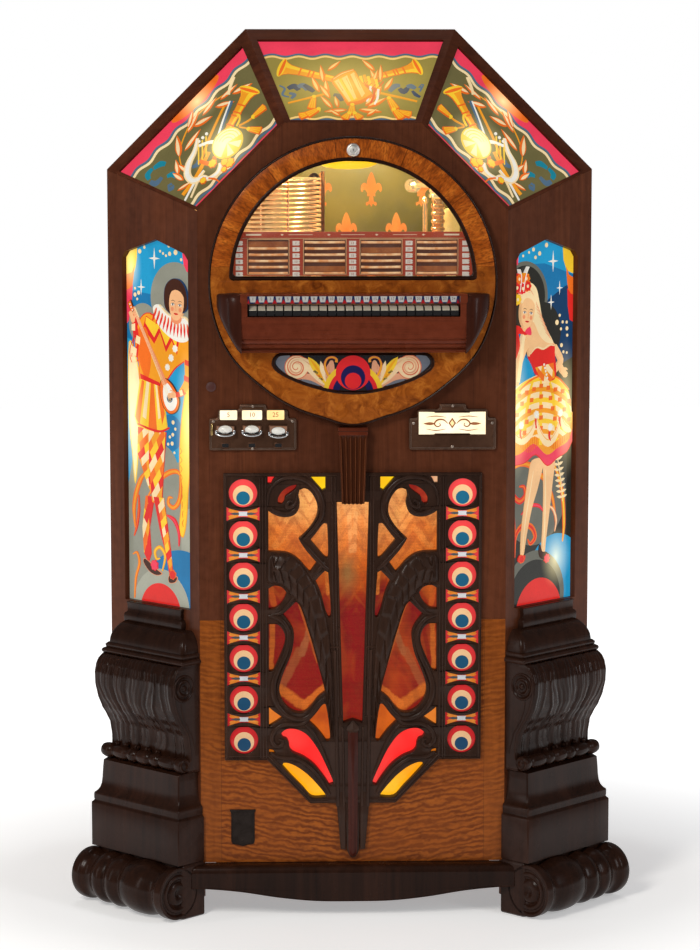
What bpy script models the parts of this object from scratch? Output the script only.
"""A coin-operated jukebox: octagonal wooden cabinet with lit art glass, a round
selector door, a carved grille and two carved corner consoles.

Metres, +Z up. The origin is on the floor under the middle of the bounding box,
the front faces -Y and +X is on the right of someone standing in front of it.
"""
import math

import bmesh
import bpy
from mathutils import Matrix, Vector

MM = 0.001
GAP = 0.0003                      # clearance between pieces that touch
ROOT2 = math.sqrt(2.0)
MITRE = math.tan(math.radians(22.5))

# ---------------------------------------------------------------- cabinet
FRONT_Y = -0.26585                # plane of the front board
BACK_Y = 0.350                    # outer face of the back door
BOARD = 0.018                     # thickness of every cabinet board but the top frame
TOP_BOARD = 0.012
FRONT_HALF = 0.286                # half width of the front board
FRONT_TOP = 1.485                 # top edge of the front board
FRONT_DIAGONAL = 1.6105           # x + z along the front board's sloping edge
BAND = 0.173                      # depth, and rise, of the slanted band
SHELL_FRONT = FRONT_Y + BAND
SHELL_BACK = BACK_Y - BOARD - GAP
FLOOR_TOP = 0.118
FLOOR_BOTTOM = 0.100
CANT_BOTTOM = 0.030
BOARD_SPLIT = 0.562               # front board above, veneered panel below
PANEL_BOTTOM = 0.0995

# ---------------------------------------------------------------- round door
DOOR_Z = 1.194
DOOR_R = 0.266
DOOR_FLAT = 0.0085                # how far the lower quarters are flattened
DOOR_THICK = 0.020
DOOR_HOLE_R = 0.240
WINDOW_R = 0.221
WINDOW_SILL = 1.204
HINGE_Y = FRONT_Y - DOOR_THICK
HINGE_Z = 0.927
LOCK_Z = 1.435
BOAT_HALF = 0.144
BOAT_TOP = 1.059
BOAT_DROP = 0.070

# ---------------------------------------------------------------- selector keys
KEY_COUNT = 24
KEY_PITCH = 0.016
KEY_WIDTH = 0.0146
KEY_BOTTOM = 1.1343
KEY_SHOULDER = 1.1450
KEY_TOP = 1.1520
KEY_FRONT = FRONT_Y - 0.066
KEY_BACK = FRONT_Y + 0.008
KEY_SLOPE = 0.008

# ---------------------------------------------------------------- grille
GRILLE_HALF = 0.240
GRILLE_TOP = 0.839
GRILLE_FOOT = 0.297
GRILLE_TIP = 0.214
SLOPE_OUT = 0.160                 # half widths where the sloping lower edges start and end
SLOPE_IN = 0.080
GRILLE_PROUD = 0.010
GRILLE_DEEP = 0.015
PILASTER_PROUD = 0.026
EYE_X = 0.204
EYE_TOP = 0.802
EYE_PITCH = 0.0778
EYE_R = 0.027
EYE_COUNT = 7
SPEAKER_Y = FRONT_Y + 0.030
SPEAKER_Z = 0.560

# ---------------------------------------------------------------- consoles, along the canted faces
CONSOLE_IN = -0.008               # inner end, measured outward from the front arris
CONSOLE_OUT = 0.236
CONSOLE_DEEP = 0.066
CONSOLE_BOTTOM = 0.1055
FOOT_TOP = 0.105
ROLLER_Z = 0.0525
ROLLER_W = 0.066
VOLUTE_Z = 0.438                  # centre height of the scroll discs
VOLUTE_W = 0.040
VOLUTE_R = 0.025
BEADS_Z = 0.291                   # axis height of the small beaded roller

# ---------------------------------------------------------------- record changer
DECK_TOP = 1.120
DECK_THICK = 0.015
STACK_X = -0.175
TABLE_X = 0.045
CHANGER_Y = FRONT_Y + 0.200
STACK_R = 0.122
STACK_LOW = 1.1656                # underside of the lowest tray in the stack
STACK_TOP = 1.380
STACK_TRAYS = 12
STACK_PITCH = 0.0174
TRAY_LOW = 1.1572
TRAY_THICK = 0.003
TRAY_PIVOT = (-0.065, FRONT_Y + 0.350)
ARM_PIVOT = (0.160, FRONT_Y + 0.060)
ARM_LENGTH = 0.165
ARM_LOW = 1.3455
ARM_REST = math.radians(104.0)


# ================================================================ helpers
def clear_scene():
    for item in list(bpy.data.objects):
        bpy.data.objects.remove(item, do_unlink=True)


def material(name, colour, roughness, metallic=0.0):
    made = bpy.data.materials.new(name)
    made.use_nodes = True
    shader = made.node_tree.nodes["Principled BSDF"]
    shader.inputs["Base Color"].default_value = (*colour, 1.0)
    shader.inputs["Roughness"].default_value = roughness
    shader.inputs["Metallic"].default_value = metallic
    return made


def finish(bm):
    """Merge coincident points and turn every face outward."""
    bmesh.ops.remove_doubles(bm, verts=bm.verts, dist=1e-6)
    bm.normal_update()
    bmesh.ops.recalc_face_normals(bm, faces=bm.faces)
    return bm


def node(name, bm, colour, roughness, metallic=0.0, origin=(0, 0, 0), parent=None):
    """One named object with its own material and its origin at a given point."""
    bm.transform(Matrix.Translation(-Vector(origin)))
    mesh = bpy.data.meshes.new(name)
    bm.to_mesh(mesh)
    bm.free()
    mesh.materials.append(material(name + "_finish", colour, roughness, metallic))
    mesh.shade_smooth()
    mesh.set_sharp_from_angle(angle=math.radians(35))
    made = bpy.data.objects.new(name, mesh)
    bpy.context.scene.collection.objects.link(made)
    made.location = Vector(origin)
    if parent is not None:
        made.parent = parent
        made.location = Vector(origin) - parent.location
    return made


def ring_faces(bm, lower, upper):
    count = len(lower)
    for i in range(count):
        j = (i + 1) % count
        bm.faces.new((lower[i], lower[j], upper[j], upper[i]))


def slab(loops, y0, y1, back_loops=None):
    """A plate in the XZ plane from y0 to y1; loops[0] is the outline, the rest are holes.

    back_loops gives the same loops at y1 where the edges are mitred.
    """
    back_loops = back_loops or loops
    bm = bmesh.new()
    front = [[bm.verts.new((x, y0, z)) for x, z in loop] for loop in loops]
    back = [[bm.verts.new((x, y1, z)) for x, z in loop] for loop in back_loops]
    partner = {near: far for f, b in zip(front, back) for near, far in zip(f, b)}
    edges = [bm.edges.new((loop[i - 1], loop[i])) for loop in front for i in range(len(loop))]
    filled = bmesh.ops.triangle_fill(bm, use_beauty=True, use_dissolve=False, edges=edges)
    for face in [item for item in filled["geom"] if isinstance(item, bmesh.types.BMFace)]:
        bm.faces.new([partner[v] for v in reversed(face.verts)])
    for near, far in zip(front, back):
        ring_faces(bm, near, far)
    return finish(bm)


def loft(sections):
    """Join equal-length closed sections, each a list of points, and cap both ends."""
    bm = bmesh.new()
    rings = [[bm.verts.new(p) for p in section] for section in sections]
    for lower, upper in zip(rings, rings[1:]):
        ring_faces(bm, lower, upper)
    bm.faces.new(rings[0])
    bm.faces.new(list(reversed(rings[-1])))
    bmesh.ops.triangulate(bm, faces=[f for f in bm.faces if len(f.verts) > 4])
    return finish(bm)


def lathe(profile, segments, place=Matrix.Identity(4)):
    """Turn (radius, height) pairs about Z; the ends are closed with flat caps."""
    sections = []
    for radius, height in profile:
        angles = [2 * math.pi * i / segments for i in range(segments)]
        sections.append([(radius * math.cos(a), radius * math.sin(a), height) for a in angles])
    bm = loft(sections)
    bm.transform(place)
    return bm


def box(low, high):
    corners = [(low[0], low[1]), (high[0], low[1]), (high[0], high[1]), (low[0], high[1])]
    return loft([[(x, y, z) for x, y in corners] for z in (low[2], high[2])])


def circle(cx, cz, radius, segments, start=0.0):
    angles = [start + 2 * math.pi * i / segments for i in range(segments)]
    return [(cx + radius * math.cos(a), cz + radius * math.sin(a)) for a in angles]


def combine(base, tools, operation):
    """Boolean a bmesh with others through Blender's exact solver; returns a bmesh."""
    def as_object(bm):
        mesh = bpy.data.meshes.new("work")
        bm.to_mesh(mesh)
        bm.free()
        made = bpy.data.objects.new("work", mesh)
        bpy.context.scene.collection.objects.link(made)
        return made

    target = as_object(base)
    helpers = [as_object(tool) for tool in tools]
    for helper in helpers:
        cut = target.modifiers.new("cut", "BOOLEAN")
        cut.operation = operation
        cut.solver = "EXACT"
        cut.object = helper
    evaluated = target.evaluated_get(bpy.context.evaluated_depsgraph_get())
    result = bmesh.new()
    result.from_mesh(evaluated.to_mesh())
    evaluated.to_mesh_clear()
    for item in [target, *helpers]:
        bpy.data.objects.remove(item, do_unlink=True)
    return finish(result)


def mirror_x(bm):
    copy = bm.copy()
    copy.transform(Matrix.Scale(-1, 4, (1, 0, 0)))
    return finish(copy)


def mirrored(points):
    return [(-x, z) for x, z in reversed(points)]


def mm(points):
    return [(x * MM, z * MM) for x, z in points]


# The left canted face: local x runs outward from the front arris, local y goes
# into the cabinet and local z stays upright.
CANT = Matrix(((-1 / ROOT2, 1 / ROOT2, 0, -FRONT_HALF),
               (1 / ROOT2, 1 / ROOT2, 0, FRONT_Y),
               (0, 0, 1, 0),
               (0, 0, 0, 1)))


def both_sides(name, bm, *finish_values):
    """Place a piece built in the canted face's frame on the left, and its mirror on the right."""
    bm.transform(CANT)
    finish(bm)
    right = mirror_x(bm)
    node(name + "_left", bm, *finish_values)
    node(name + "_right", right, *finish_values)


def octagon_top(offset):
    """Left shoulder, left top, right top, right shoulder of the front outline, grown by offset."""
    half = FRONT_HALF + offset
    top = FRONT_TOP + offset
    diagonal = FRONT_DIAGONAL + offset * ROOT2
    corner = diagonal - top
    shoulder = diagonal - half
    return [(-half, shoulder), (-corner, top), (corner, top), (half, shoulder)]


# ================================================================ cabinet
WALNUT = (0.075, 0.028, 0.018)
EBONISED = (0.022, 0.014, 0.012)
BURL = (0.42, 0.19, 0.065)
RIPPLE = (0.46, 0.20, 0.075)


def make_shell():
    outer = octagon_top(BAND)
    inner = octagon_top(BAND - BOARD)
    wide = outer[-1][0]
    inside = inner[-1][0]
    outline = [(-wide, 0.0), *outer, (wide, 0.0), (inside, 0.0), (inside, FLOOR_BOTTOM),
               (-inside, FLOOR_BOTTOM), (-inside, 0.0)]
    hollow = [(-inside, FLOOR_TOP), *inner, (inside, FLOOR_TOP)]
    node("cabinet_shell", slab([outline, hollow], SHELL_FRONT + GAP, SHELL_BACK), WALNUT, 0.35)


def grille_outline(grow=0.0):
    half = GRILLE_HALF + grow
    foot = GRILLE_FOOT - grow
    tip = GRILLE_TIP - grow
    return half, foot, tip


def make_front_board():
    half, _, _ = grille_outline(GAP)
    top = GRILLE_TOP + GAP
    edge = MITRE * BOARD

    def outline(offset):
        wide = FRONT_HALF + offset
        return [(-wide, BOARD_SPLIT + GAP), *octagon_top(offset), (wide, BOARD_SPLIT + GAP),
                (half, BOARD_SPLIT + GAP), (half, top), (-half, top), (-half, BOARD_SPLIT + GAP)]

    hole = circle(0, DOOR_Z, DOOR_HOLE_R, 40)
    board = slab([outline(-GAP), hole], FRONT_Y, FRONT_Y + BOARD, [outline(-GAP - edge), hole])
    node("front_board", board, WALNUT, 0.35)


def make_lower_panel():
    half, foot, tip = grille_outline(GAP)
    slope_out = SLOPE_OUT + 0.0004
    slope_in = SLOPE_IN + GAP
    edge = MITRE * BOARD

    def outline(offset):
        wide = FRONT_HALF + offset
        return [(-wide, PANEL_BOTTOM), (-wide, BOARD_SPLIT), (-half, BOARD_SPLIT), (-half, foot),
                (-slope_out, foot), (-slope_in, tip), (slope_in, tip), (slope_out, foot),
                (half, foot), (half, BOARD_SPLIT), (wide, BOARD_SPLIT), (wide, PANEL_BOTTOM)]

    panel = slab([outline(-GAP)], FRONT_Y, FRONT_Y + BOARD, [outline(-GAP - edge)])
    node("lower_panel", panel, RIPPLE, 0.30)


def side_window(shrink=0.0):
    """Outline of the tall window in a canted face, with cut corners and a low peak."""
    left = 0.025 + shrink
    right = 0.205 - shrink
    bottom = 0.579 + shrink
    shoulder = 1.244 - shrink
    return [(left, bottom), (right, bottom), (right, shoulder - 0.012), (right - 0.010, shoulder),
            (0.112, 1.268 - shrink), (left + 0.010, shoulder), (left, shoulder - 0.012)]


def make_canted_boards():
    width = BAND * ROOT2
    edge = MITRE * BOARD
    shoulder = FRONT_DIAGONAL - FRONT_HALF
    rise = BAND * (ROOT2 - 1)
    seam = 2 * GAP
    high = shoulder + rise - seam
    low = shoulder - seam
    drop = BOARD * MITRE
    front = [(0.0, CANT_BOTTOM), (width, CANT_BOTTOM), (width, high), (0.0, low)]
    back = [(edge, CANT_BOTTOM), (width - BOARD, CANT_BOTTOM), (width - BOARD, high - drop * 2),
            (edge, low - drop)]
    board = slab([front, side_window()], 0.0, BOARD, [back, side_window()])
    both_sides("canted_board", board, WALNUT, 0.35)
    glass = slab([side_window(GAP)], 0.011, 0.015)
    both_sides("side_glass", glass, (0.15, 0.42, 0.60), 0.12)


def top_panel(index):
    """Corners of one slanted top panel, outer then inner: near-left, near-right, far-right, far-left."""
    near = octagon_top(0.0)
    far = octagon_top(BAND)
    near_in = octagon_top(-MITRE * TOP_BOARD)
    far_in = octagon_top(BAND - TOP_BOARD * ROOT2)

    def quad(a, b, near_y, far_y):
        corners = ((a[index], near_y), (a[index + 1], near_y), (b[index + 1], far_y), (b[index], far_y))
        return [Vector((x, y, z)) for (x, z), y in corners]

    return (quad(near, far, FRONT_Y, SHELL_FRONT),
            quad(near_in, far_in, FRONT_Y + TOP_BOARD, SHELL_FRONT))


def on_quad(quad, s, t):
    near = quad[0].lerp(quad[1], s)
    far = quad[3].lerp(quad[2], s)
    return near.lerp(far, t)


# Each opening as (s, t) in its panel: s across from left to right, t up the slope.
SIDE_OPENING = [(0.030, 0.033), (0.935, 0.033), (0.945, 0.895), (0.020, 0.895)]
CENTRE_OPENING = [(0.050, 0.025), (0.950, 0.025), (0.963, 0.885), (0.037, 0.885)]


def opening(index):
    if index == 1:
        return CENTRE_OPENING
    if index == 0:
        return SIDE_OPENING
    return [(1.0 - s, t) for s, t in (SIDE_OPENING[1], SIDE_OPENING[0], SIDE_OPENING[3], SIDE_OPENING[2])]


def make_top_frame():
    bm = bmesh.new()
    for index in range(3):
        outer, inner = top_panel(index)
        hole = opening(index)
        outer_hole = [on_quad(outer, s, t) for s, t in hole]
        normal = (outer[1] - outer[0]).cross(outer[3] - outer[0]).normalized()
        inner_hole = [p - normal * TOP_BOARD * math.copysign(1, normal.z) for p in outer_hole]
        rings = [[bm.verts.new(p) for p in ring] for ring in (outer, outer_hole, inner, inner_hole)]
        ring_faces(bm, rings[0], rings[1])
        ring_faces(bm, rings[3], rings[2])
        ring_faces(bm, rings[1], rings[3])
        open_edges = [0, 2] + ([3] if index == 0 else []) + ([1] if index == 2 else [])
        for i in open_edges:
            j = (i + 1) % 4
            bm.faces.new((rings[0][i], rings[0][j], rings[2][j], rings[2][i]))
    node("top_frame", finish(bm), WALNUT, 0.35)


def make_top_glass():
    inset = 0.005
    thick = 0.004
    for index, name in enumerate(("top_glass_left", "top_glass_centre", "top_glass_right")):
        outer, _ = top_panel(index)
        corners = [on_quad(outer, s, t) for s, t in opening(index)]
        middle = sum(corners, Vector()) / 4
        fitted = [p + (middle - p).normalized() * 3 * GAP for p in corners]
        normal = (outer[1] - outer[0]).cross(outer[3] - outer[0]).normalized()
        down = normal * -math.copysign(1, normal.z)
        pane = loft([[p + down * inset for p in fitted], [p + down * (inset + thick) for p in fitted]])
        node(name, pane, (0.40, 0.38, 0.20), 0.12)


def make_apron():
    proud = 0.030
    back_half = FRONT_HALF + CONSOLE_IN * ROOT2 - 2 * GAP
    front_half = back_half + proud - GAP
    top = PANEL_BOTTOM - GAP
    low = [(0.00, 0.030), (0.06, 0.031), (0.12, 0.038), (0.18, 0.049), (0.24, 0.055)]

    def outline(half):
        right = [(x, z) for x, z in low] + [(half, 0.056), (half, top - 0.018), (half - 0.004, top - 0.006),
                                            (half - 0.014, top)]
        left = [(-x, z) for x, z in reversed(right) if x > 0]
        return right + left

    apron = slab([outline(front_half)], FRONT_Y - proud, FRONT_Y - GAP, [outline(back_half)])
    node("apron", apron, EBONISED, 0.30)


# ================================================================ consoles and feet
def console_sections():
    """(height, inner end, outer end, depth) of the console body, from the plinth to the sill."""
    base = [(CONSOLE_BOTTOM, 0, 0), (0.189, 0, 0), (0.193, 3, 3), (0.196, 4, 4), (0.209, 4, 4),
            (0.213, 8, 8), (0.222, 13, 13), (0.235, 15, 15), (0.258, 16, 16), (0.272, 17, 17)]
    sections = [(z, CONSOLE_IN + a * MM, CONSOLE_OUT - a * MM, CONSOLE_DEEP - b * MM) for z, a, b in base]
    scroll = [(0.279, 34), (0.290, 29), (0.318, 27), (0.344, 32), (0.360, 41), (0.378, 53), (0.400, 63),
              (0.424, 69), (0.446, 70), (0.462, 66), (0.474, 58), (0.4795, 50)]
    sections += [(z, 0.003, 0.219, w * MM) for z, w in scroll]
    cap = [(0.480, -3, 222, 47), (0.491, -3, 222, 49), (0.494, 3, 215, 41), (0.500, 3, 213, 39),
           (0.511, 5, 211, 38), (0.522, 7, 208, 35), (0.533, 12, 203, 28), (0.540, 20, 196, 18)]
    sill = [(0.5405, 38, 196, 12), (0.556, 38, 196, 12), (0.560, 43, 191, 8), (0.578, 43, 191, 8)]
    sections += [(z, a * MM, b * MM, w * MM) for z, a, b, w in cap + sill]
    return sections


def along_face(u, w, z):
    """Turn a lathe's Z axis to run outward along the canted face from (u, w, z)."""
    return Matrix.Translation((u, -w, z)) @ Matrix.Rotation(math.radians(90), 4, "Y")


def make_consoles():
    sections = console_sections()
    body = loft([[(a, -GAP, z), (b, -GAP, z), (b, -w, z), (a, -w, z)] for z, a, b, w in sections])
    beads = [(12, 0), (14, 4), (14, 16), (10, 22), (12.5, 34), (12.5, 60), (9, 66), (13, 78), (9, 90),
             (13, 104), (13, 114), (9, 128), (13, 140), (9, 152), (12.5, 158), (12.5, 184), (10, 196),
             (14, 204), (14, 216), (12, 220)]
    roller_start = along_face(0.001, VOLUTE_W, BEADS_Z)
    small_roller = lathe([(r * MM, h * MM) for r, h in beads], 12, roller_start)
    eye = [(VOLUTE_R, 0.0), (VOLUTE_R, 0.010)]
    inner_eye = lathe(eye, 16, along_face(-0.0015, VOLUTE_W, VOLUTE_Z))
    outer_eye = lathe(eye, 16, along_face(0.2135, VOLUTE_W, VOLUTE_Z))
    both_sides("console", combine(body, [small_roller, inner_eye, outer_eye], "UNION"), EBONISED, 0.25)


def make_feet():
    block = box((CONSOLE_IN, -0.058, 0.0), (0.230, -GAP, FOOT_TOP))
    turned = [(44, 0), (48, 3), (48, 20), (43, 24), (42, 34), (46, 44), (51, 62), (52, 84), (51, 106),
              (46, 122), (45, 126), (49.5, 134), (50.5, 145), (49.5, 156), (44, 163), (48.5, 171),
              (49.5, 182), (48.5, 194), (43, 204), (42, 218), (46, 224), (50, 230), (50, 248), (45, 251)]
    roller = lathe([(r * MM, h * MM) for r, h in turned], 20, along_face(CONSOLE_IN, ROLLER_W, ROLLER_Z))
    both_sides("foot", combine(block, [roller], "UNION"), EBONISED, 0.25)


# ================================================================ grille
# Openings of the left half of the fretwork, in millimetres, from the top down.
LEFT_OPENINGS = [
    [(-157, 820), (-142, 823), (-144, 832), (-157, 832)],
    [(-78, 832), (-60, 808), (-51, 806), (-51, 832)],
    [(-138, 786), (-134, 809), (-119, 821), (-103, 819), (-109, 811), (-121, 803), (-126, 792), (-127, 785)],
    [(-99, 794), (-91, 812), (-80, 810), (-66, 786), (-68, 762), (-80, 737), (-101, 717), (-66, 673),
     (-79, 658), (-95, 676), (-112, 690), (-131, 696), (-157, 696), (-157, 769), (-146, 764), (-131, 760),
     (-115, 764), (-103, 777)],
    [(-78, 715), (-52, 745), (-47, 740), (-46, 684), (-52, 682)],
    [(-68, 637), (-50, 655), (-45, 652), (-41, 572), (-47, 568)],
    [(-157, 622), (-140, 627), (-122, 612), (-150, 584), (-157, 584)],
    [(-157, 552), (-135, 552), (-128, 527), (-135, 502), (-150, 467), (-157, 467)],
    [(-130, 574), (-107, 596), (-100, 592), (-85, 552), (-60, 482), (-52, 427), (-75, 407), (-95, 387),
     (-115, 392), (-132, 412), (-137, 437), (-125, 482), (-113, 522), (-112, 553), (-120, 567)],
    [(-157, 397), (-132, 377), (-157, 362)],
    [(-82, 370), (-55, 402), (-48, 402), (-43, 337), (-50, 334)],
    [(-135, 352), (-118, 356), (-95, 347), (-60, 307), (-38, 257), (-42, 249), (-60, 272), (-85, 296),
     (-117, 317), (-120, 332), (-128, 340)],
    [(-132, 287), (-125, 291), (-100, 282), (-70, 257), (-52, 232), (-53, 227), (-76, 226)],
]
CENTRE_STRIP = [(-30, 782), (30, 782), (18, 367), (0, 372), (-18, 367)]
BOW = [(-31, 13), (0, 5), (31, 13), (31, -13), (0, -5), (-31, -13)]


def grille_holes():
    holes = [mm(CENTRE_STRIP)]
    for points in LEFT_OPENINGS:
        holes += [mm(points), mirrored(mm(points))]
    for side in (-1, 1):
        for i in range(EYE_COUNT):
            eye_z = EYE_TOP - i * EYE_PITCH
            holes.append(circle(side * EYE_X, eye_z, EYE_R, 14))
            if i < EYE_COUNT - 1:
                bow_z = eye_z - EYE_PITCH / 2
                holes.append([(side * EYE_X + x * MM, bow_z + z * MM) for x, z in BOW])
    return holes


def make_grille():
    half, foot, tip = grille_outline()
    field = [(-half, GRILLE_TOP), (half, GRILLE_TOP), (half, foot), (SLOPE_OUT, foot), (SLOPE_IN, tip),
             (-SLOPE_IN, tip), (-SLOPE_OUT, foot), (-half, foot)]
    fret = slab([field, *grille_holes()], FRONT_Y - GRILLE_PROUD, FRONT_Y + GRILLE_DEEP)
    right_tail = [(32.5, 235), (23, 125), (14, 124), (9, 117), (0, 108)]
    tails = mm(right_tail + [(-x, z) for x, z in reversed(right_tail) if x > 0])
    tail_plate = slab([tails], FRONT_Y - GRILLE_PROUD + 0.0005, FRONT_Y - GAP)
    ridge_y = FRONT_Y - GRILLE_PROUD
    stations = [(0.1135, 0.002, 0.001), (0.124, 0.0075, 0.008), (0.350, 0.009, 0.008), (0.364, 0.003, 0.001)]
    spear = loft([[(-s, ridge_y + 0.002, z), (s, ridge_y + 0.002, z), (0, ridge_y - h, z)]
                  for z, s, h in stations])
    node("carved_grille", combine(fret, [tail_plate, spear], "UNION"), EBONISED, 0.40)
    pane_y = FRONT_Y + GRILLE_DEEP + GAP
    node("grille_glass", slab([field], pane_y, pane_y + 0.004), (0.75, 0.25, 0.06), 0.20)


def make_pilaster():
    cap = [(-27, 925), (27, 925), (27, 914), (26, 912), (21, 784), (-21, 784), (-26, 912), (-27, 914)]
    back = FRONT_Y - GRILLE_PROUD - GAP
    body = slab([mm(cap)], FRONT_Y - PILASTER_PROUD, back)
    flutes = []
    half = 0.0025
    mouth_y = FRONT_Y - 0.030
    bottom_y = FRONT_Y - 0.0225
    for i in range(5):
        top_x = (-20 + 10 * i) * MM
        ends = ((top_x * 0.8, 0.775), (top_x, 0.906))
        flutes.append(loft([[(x - half, mouth_y, z), (x + half, mouth_y, z), (x, bottom_y, z)]
                            for x, z in ends]))
    backing = box((-0.021, back - 0.004, GRILLE_TOP + 0.001), (0.021, FRONT_Y - GAP, 0.920))
    body = combine(combine(body, flutes, "DIFFERENCE"), [backing], "UNION")
    node("fluted_pilaster", body, WALNUT, 0.30)


def make_speaker():
    place = Matrix.Translation((0, SPEAKER_Y, SPEAKER_Z)) @ Matrix.Rotation(math.radians(-90), 4, "X")
    profile = [(0.190, 0.0), (0.190, 0.006), (0.172, 0.010), (0.070, 0.085), (0.070, 0.092), (0.058, 0.096),
               (0.058, 0.150), (0.050, 0.153)]
    node("speaker", lathe(profile, 24, place), (0.03, 0.03, 0.03), 0.60)


# ================================================================ plates on the front board
PLATE_PROUD = 0.007


def plate_outline():
    """Stepped coin plate, left side of the front; the name plate is its mirror."""
    steps = [(-266, 882), (-104, 882), (-104, 942), (-120, 942), (-120, 958), (-160, 958), (-160, 968),
             (-210, 968), (-210, 958), (-250, 958), (-250, 942), (-266, 942)]
    return mm(steps)


def raised_block(x, low, high, layers):
    """A block on a plate: layers are (distance in front of the board, half width)."""
    return loft([[(x - s, FRONT_Y - out, low), (x + s, FRONT_Y - out, low),
                  (x + s, FRONT_Y - out, high), (x - s, FRONT_Y - out, high)] for out, s in layers])


def make_plates():
    body = slab([plate_outline()], FRONT_Y - PLATE_PROUD, FRONT_Y - GAP)
    entry = ((0.022, 0.013), (0.018, 0.017), (0.005, 0.017))
    entries = [raised_block(x, 0.912, 0.934, entry) for x in (-0.236, -0.187, -0.138)]
    node("coin_plate", combine(body, entries, "UNION"), (0.05, 0.035, 0.03), 0.30, 0.3)
    body = slab([mirrored(plate_outline())], FRONT_Y - PLATE_PROUD, FRONT_Y - GAP)
    window = raised_block(0.184, 0.911, 0.954, ((0.011, 0.060), (0.005, 0.062)))
    node("name_plate", combine(body, [window], "UNION"), (0.05, 0.035, 0.03), 0.30, 0.3)


# ================================================================ round door
def door_radius(angle):
    """Radius of the door at an angle from straight down: round, with flattened lower quarters."""
    degrees = abs(math.degrees(angle))
    if degrees < 15:
        return DOOR_R - DOOR_FLAT * math.sin(math.radians(90 * degrees / 15)) ** 2
    if degrees < 38:
        return DOOR_R - DOOR_FLAT
    if degrees < 65:
        return DOOR_R - DOOR_FLAT * math.cos(math.radians(90 * (degrees - 38) / 27)) ** 2
    return DOOR_R


def door_outline(segments):
    angles = [2 * math.pi * i / segments - math.pi for i in range(segments)]
    return [(door_radius(a) * math.sin(a), DOOR_Z - door_radius(a) * math.cos(a)) for a in angles]


def window_outline(radius, sill, segments):
    """Arched window: flat sill and a round head about the door's centre."""
    start = math.asin((sill - DOOR_Z) / radius)
    sweep = math.pi - 2 * start
    angles = [start + sweep * i / segments for i in range(segments + 1)]
    return [(radius * math.cos(a), DOOR_Z + radius * math.sin(a)) for a in angles]


def boat_outline(shrink, segments):
    """Boat-shaped window: flat top, round ends and a shallow curved bottom."""
    half = BOAT_HALF - shrink
    top = BOAT_TOP - shrink
    drop = BOAT_DROP - 2 * shrink
    points = [(half * 0.93, top), (-half * 0.93, top)]
    for i in range(segments + 1):
        a = math.pi * i / segments
        x = -half * math.cos(a)
        points.append((x, top - drop * (0.18 + 0.82 * math.sin(a) ** 1.25)))
    return points


def make_door():
    pivot = bpy.data.objects.new("door_pivot", None)
    origin = (0, HINGE_Y, HINGE_Z)
    pivot.location = origin
    bpy.context.scene.collection.objects.link(pivot)

    key_half = KEY_PITCH * KEY_COUNT / 2 + 0.002
    slot_low = KEY_BOTTOM - 0.001
    slot_high = KEY_TOP + 0.001
    key_slot = [(-key_half, slot_low), (key_half, slot_low), (key_half, slot_high), (-key_half, slot_high)]
    window = window_outline(WINDOW_R, WINDOW_SILL, 28)
    ring = slab([door_outline(60), window, boat_outline(0, 18), key_slot], HINGE_Y, FRONT_Y - 0.0005)
    node("door_ring", ring, BURL, 0.25, 0.0, origin, pivot)

    pane = slab([window_outline(WINDOW_R - GAP, WINDOW_SILL + GAP, 28)], FRONT_Y - 0.0125, FRONT_Y - 0.0095)
    node("door_glass", pane, (0.75, 0.80, 0.80), 0.05, 0.0, origin, pivot)

    art = slab([boat_outline(0.0006, 18)], FRONT_Y - 0.014, FRONT_Y - 0.010)
    node("door_art_glass", art, (0.70, 0.15, 0.10), 0.12, 0.0, origin, pivot)

    bay_half = 0.037
    bay_low = 1.210
    bay_high = 1.2685
    title_holes = [[(x - bay_half, bay_low), (x + bay_half, bay_low),
                    (x + bay_half, bay_high), (x - bay_half, bay_high)]
                   for x in (-0.1555, -0.0515, 0.052, 0.155)]
    frame = [(-0.212, 1.2045), (0.212, 1.2045), (0.199, 1.285), (-0.199, 1.285)]
    board = slab([frame, *title_holes], FRONT_Y + 0.0005, FRONT_Y + 0.010)
    node("title_board", board, (0.22, 0.02, 0.02), 0.40, 0.0, origin, pivot)

    node("key_housing", housing_body(key_half), WALNUT, 0.25, 0.0, origin, pivot)

    lock_origin = (0, HINGE_Y - GAP, LOCK_Z)
    lock_place = Matrix.Translation(lock_origin) @ Matrix.Rotation(math.radians(90), 4, "X")
    lock = lathe([(0.012, 0.0), (0.012, 0.004), (0.010, 0.007), (0.006, 0.0085)], 16, lock_place)
    node("door_lock", lock, (0.75, 0.75, 0.75), 0.20, 1.0, lock_origin, pivot)

    for i in range(KEY_COUNT):
        x = (i - (KEY_COUNT - 1) / 2) * KEY_PITCH
        node("selector_key_%02d" % (i + 1), key_body(x), (0.80, 0.78, 0.70), 0.30, 0.0,
             (x, KEY_FRONT, (KEY_BOTTOM + KEY_TOP) / 2), pivot)


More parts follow.
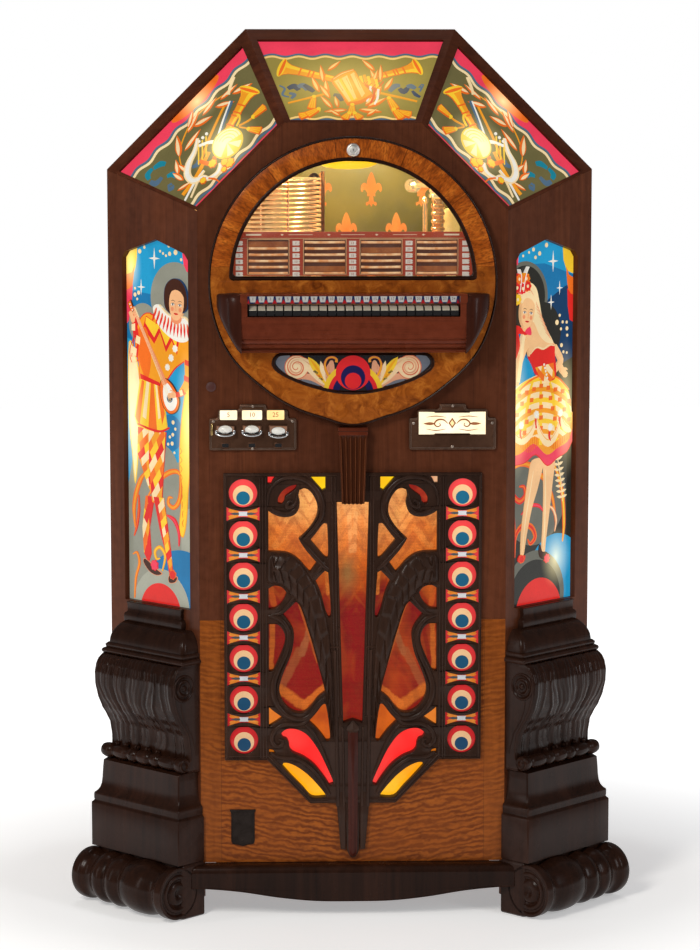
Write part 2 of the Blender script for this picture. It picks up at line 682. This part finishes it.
def housing_body(key_half):
    """The ledge that holds the keys: curved ends, a moulded lower edge and a slot right through."""
    levels = [
        (-0.0203, [(250, 1174.5), (250, 1158), (245, 1125), (236, 1095), (222, 1076), (206, 1064)]),
        (-0.030, [(247, 1174.5), (247, 1158), (242, 1125), (233, 1096), (219, 1077), (206, 1065)]),
        (-0.048, [(243, 1174.5), (243, 1157), (237, 1126), (228, 1099), (217, 1083), (206, 1073)]),
        (-0.052, [(241, 1174.5), (241, 1157), (235, 1126), (226, 1100), (216, 1085), (206, 1077)]),
        (-0.066, [(235, 1174.5), (235, 1156), (229, 1127), (221, 1103), (214, 1091), (205, 1086)]),
        (-0.074, [(229, 1172), (229, 1155), (223, 1128), (217, 1106), (212, 1097), (204, 1094)]),
    ]
    sections = []
    for depth, right in levels:
        points = right + [(-x, z) for x, z in reversed(right)]
        sections.append([(x * MM, FRONT_Y + depth, z * MM) for x, z in points])
    slot_half = key_half + 0.002
    slot = box((-slot_half, FRONT_Y - 0.090, KEY_BOTTOM - 0.0006), (slot_half, FRONT_Y, 1.171))
    return combine(loft(sections), [slot], "DIFFERENCE")


def key_body(x):
    profile = [(KEY_FRONT, KEY_BOTTOM), (KEY_BACK, KEY_BOTTOM), (KEY_BACK, KEY_TOP),
               (KEY_FRONT + KEY_SLOPE, KEY_TOP), (KEY_FRONT, KEY_SHOULDER)]
    return loft([[(x + side * KEY_WIDTH / 2, y, z) for y, z in profile] for side in (-1, 1)])


# ================================================================ record changer
def make_mechanism():
    deck_plan = [(-0.25, 0.030), (0.25, 0.030), (0.25, 0.070), (0.436, 0.256),
                 (0.436, 0.450), (-0.436, 0.450), (-0.436, 0.256), (-0.25, 0.070)]
    shaft_hole = circle(TABLE_X, 0.200, 0.0115, 12)
    flat = slab([deck_plan, shaft_hole], DECK_TOP - DECK_THICK, DECK_TOP)
    flat.transform(Matrix(((1, 0, 0, 0), (0, 0, 1, FRONT_Y), (0, 1, 0, 0), (0, 0, 0, 1))))
    finish(flat)
    wall = box((-0.300, FRONT_Y + 0.400, DECK_TOP - 0.005), (0.300, FRONT_Y + 0.406, 1.490))
    column = lathe([(0.016, DECK_TOP - 0.004), (0.016, 1.150), (0.011, 1.156), (0.011, 1.345)], 12,
                   Matrix.Translation((*ARM_PIVOT, 0)))
    post = lathe([(0.006, DECK_TOP - 0.004), (0.006, 1.385)], 10, Matrix.Translation((*TRAY_PIVOT, 0)))
    node("mechanism_deck", combine(flat, [wall, column, post], "UNION"), (0.30, 0.28, 0.12), 0.50)

    grooves = []
    for i in range(STACK_TRAYS):
        low = STACK_LOW + i * STACK_PITCH
        grooves += [(STACK_R, low), (STACK_R, low + 0.0084), (STACK_R - 0.012, low + 0.0090),
                    (STACK_R - 0.012, low + 0.0162)]
    grooves += [(STACK_R, STACK_TOP - 0.0055), (STACK_R, STACK_TOP)]
    stack = lathe(grooves, 18, Matrix.Translation((STACK_X, CHANGER_Y, 0)))
    rail = lathe([(0.0115, DECK_TOP + GAP), (0.0115, STACK_TOP - 0.002)], 10,
                 Matrix.Translation((STACK_X - 0.105, CHANGER_Y + 0.079, 0)))
    node("record_stack", combine(stack, [rail], "UNION"), (0.75, 0.42, 0.20), 0.25, 0.9)

    tray_outline = hull_of_circles((STACK_X, CHANGER_Y, 0.118), (*TRAY_PIVOT, 0.014), 28)
    tray_holes = [circle(STACK_X, CHANGER_Y, 0.092, 24), circle(*TRAY_PIVOT, 0.0068, 12)]
    tray = slab([tray_outline, *tray_holes], TRAY_LOW, TRAY_LOW + TRAY_THICK)
    tray.transform(Matrix(((1, 0, 0, 0), (0, 0, 1, 0), (0, 1, 0, 0), (0, 0, 0, 1))))
    finish(tray)
    node("record_tray", tray, (0.80, 0.62, 0.30), 0.25, 1.0, (*TRAY_PIVOT, TRAY_LOW + TRAY_THICK / 2))

    table_place = Matrix.Translation((TABLE_X, CHANGER_Y, 0))
    lift = lathe([(0.010, 0.880), (0.010, 1.1350)], 12, table_place)
    node("turntable_shaft", lift, (0.60, 0.60, 0.60), 0.25, 1.0, (TABLE_X, CHANGER_Y, 1.1350))
    platter_profile = [(0.050, 1.1353), (0.085, 1.1400), (0.085, 1.1480), (0.0036, 1.1480), (0.0036, 1.1555)]
    platter = lathe(platter_profile, 24, table_place)
    node("turntable", platter, (0.25, 0.04, 0.05), 0.85, 0.0, (TABLE_X, CHANGER_Y, 1.1480))
    make_tonearm()


def hull_of_circles(big, small, segments):
    """Outline around two circles and the two straight edges that touch both."""
    bx, by, br = big
    sx, sy, sr = small
    heading = math.atan2(sy - by, sx - bx)
    spread = math.acos((br - sr) / math.hypot(sx - bx, sy - by))
    points = []
    for i in range(segments + 1):
        a = heading + spread + (2 * math.pi - 2 * spread) * i / segments
        points.append((bx + br * math.cos(a), by + br * math.sin(a)))
    for i in range(7):
        a = heading - spread + 2 * spread * i / 6
        points.append((sx + sr * math.cos(a), sy + sr * math.sin(a)))
    return points


def make_tonearm():
    hub = lathe([(0.017, ARM_LOW), (0.017, ARM_LOW + 0.016), (0.012, ARM_LOW + 0.024)], 14)
    bar = box((0.0, -0.005, ARM_LOW + 0.014), (ARM_LENGTH, 0.005, ARM_LOW + 0.022))
    head = box((ARM_LENGTH - 0.024, -0.011, ARM_LOW + 0.0125), (ARM_LENGTH + 0.012, 0.011, ARM_LOW + 0.030))
    arm = combine(hub, [bar, head], "UNION")
    arm.transform(Matrix.Translation((*ARM_PIVOT, 0)) @ Matrix.Rotation(ARM_REST, 4, "Z"))
    node("tonearm", arm, (0.80, 0.60, 0.28), 0.20, 1.0, (*ARM_PIVOT, ARM_LOW))


# ================================================================ inside the base, and the back
VENT_HALF = 0.060
VENT_HEIGHT = 0.016


def make_amplifier():
    chassis = box((-0.150, 0.110, FLOOR_TOP + GAP), (0.150, 0.290, 0.190))
    transformer = box((-0.130, 0.130, 0.185), (-0.050, 0.230, 0.265))
    valves = [lathe([(0.016, 0.185), (0.018, 0.200), (0.018, 0.245), (0.008, 0.260)], 10,
                    Matrix.Translation((x, 0.190, 0))) for x in (0.000, 0.050, 0.100)]
    inlet = box((-0.120, 0.285, 0.140), (-0.085, 0.302, 0.165))
    node("amplifier", combine(chassis, [transformer, *valves, inlet], "UNION"), (0.25, 0.25, 0.24), 0.45, 0.6)


def make_back_door():
    rim = octagon_top(BAND)
    wide = rim[-1][0]
    cord_notch = [(-0.080, 0.100), (-0.080, 0.150), (-0.125, 0.150), (-0.125, 0.100)]
    outline = [(-wide, 0.100), *rim, (wide, 0.100), *cord_notch]
    vents = []
    for row in range(4):
        for x0 in (-0.200, 0.0, 0.200):
            z0 = 0.560 + row * 0.045
            z1 = z0 + VENT_HEIGHT
            left = x0 - VENT_HALF
            right = x0 + VENT_HALF
            vents.append([(left, z0), (right, z0), (right, z1), (left, z1)])
    door = slab([outline, *vents], BACK_Y - BOARD, BACK_Y)
    node("back_door", door, (0.10, 0.05, 0.03), 0.60, 0.0, (-wide, BACK_Y, 0.100))


def main():
    clear_scene()
    make_shell()
    make_front_board()
    make_lower_panel()
    make_canted_boards()
    make_top_frame()
    make_top_glass()
    make_apron()
    make_consoles()
    make_feet()
    make_grille()
    make_pilaster()
    make_speaker()
    make_plates()
    make_door()
    make_mechanism()
    make_amplifier()
    make_back_door()


main()
